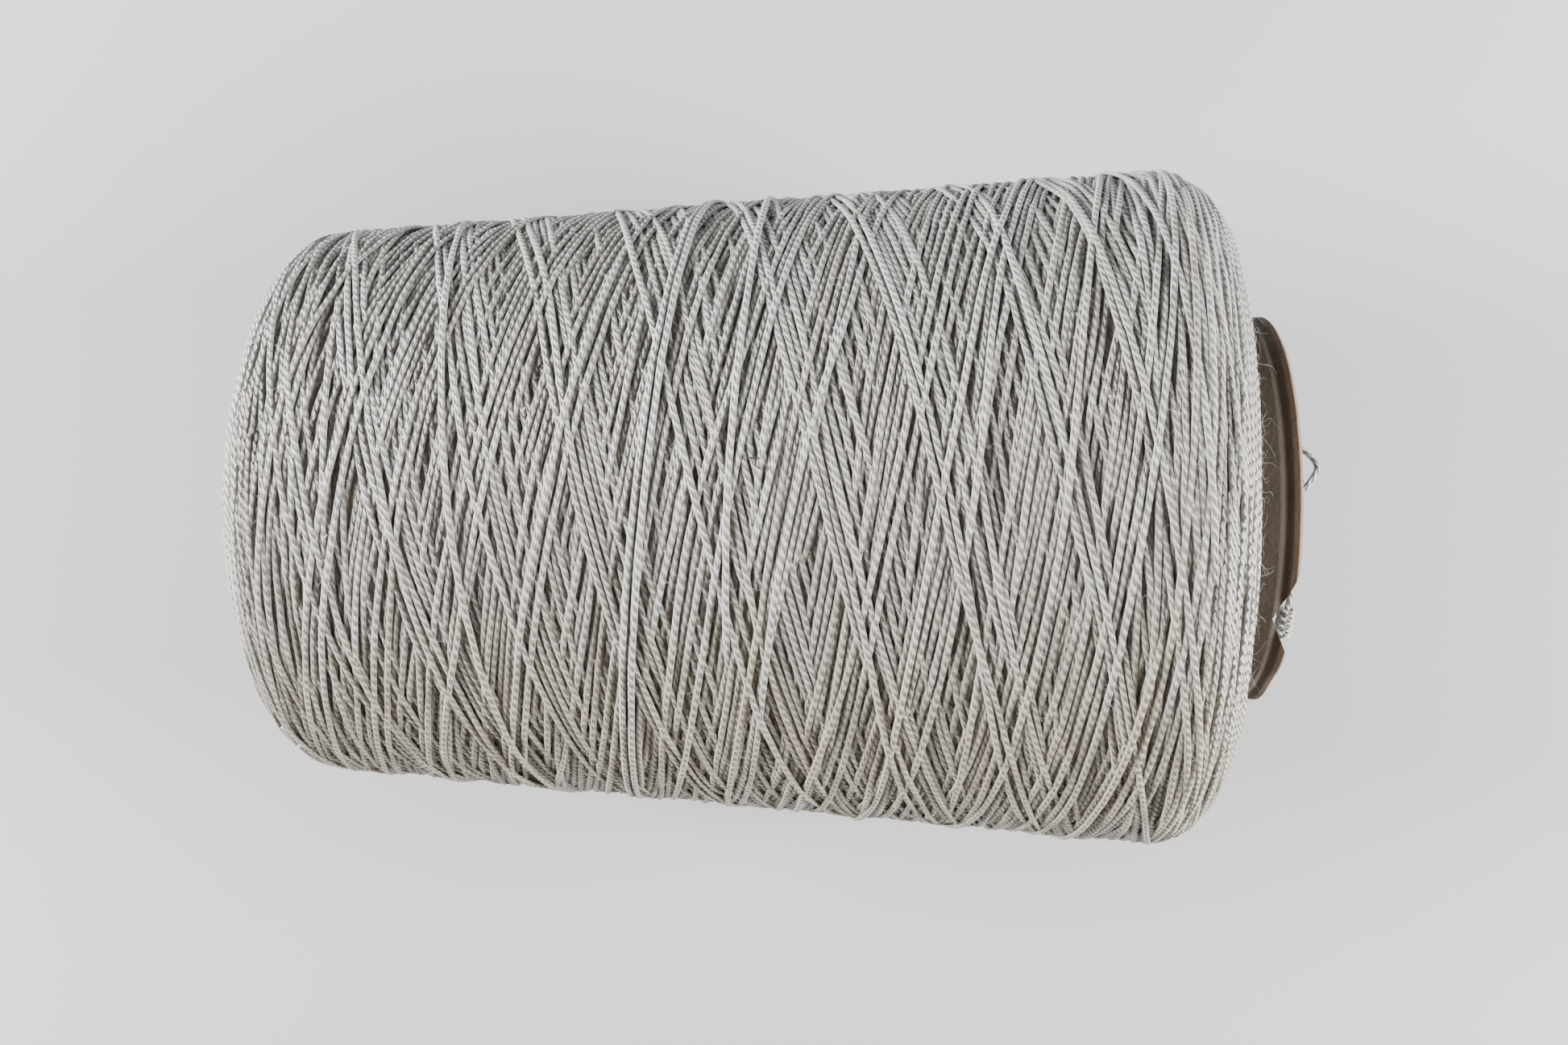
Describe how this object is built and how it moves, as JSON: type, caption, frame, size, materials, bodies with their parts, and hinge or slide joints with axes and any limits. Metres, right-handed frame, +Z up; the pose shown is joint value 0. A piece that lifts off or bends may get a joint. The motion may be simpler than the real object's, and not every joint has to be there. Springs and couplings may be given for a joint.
{
  "type": "cone of yarn",
  "caption": "Tapered cone of cross-wound ivory yarn on a brown paper core, lying on its side, with a knotted loose end in the core's mouth.",
  "frame": {"origin": "on the surface that the cone lies on, under the middle of the package and its core", "axes": "+Z up, +X from the narrow nose to the wide base, the cone's axis rising 4 degrees towards +X"},
  "size_m": [0.1657, 0.1086, 0.1074],
  "materials": {
    "yarn": "matte two-ply spun yarn, ivory",
    "paper": "matte brown paper board"
  },
  "bodies": {
    "root": {"yarn_package": "yarn", "core": "paper", "tail": "yarn"}
  },
  "joints": []
}
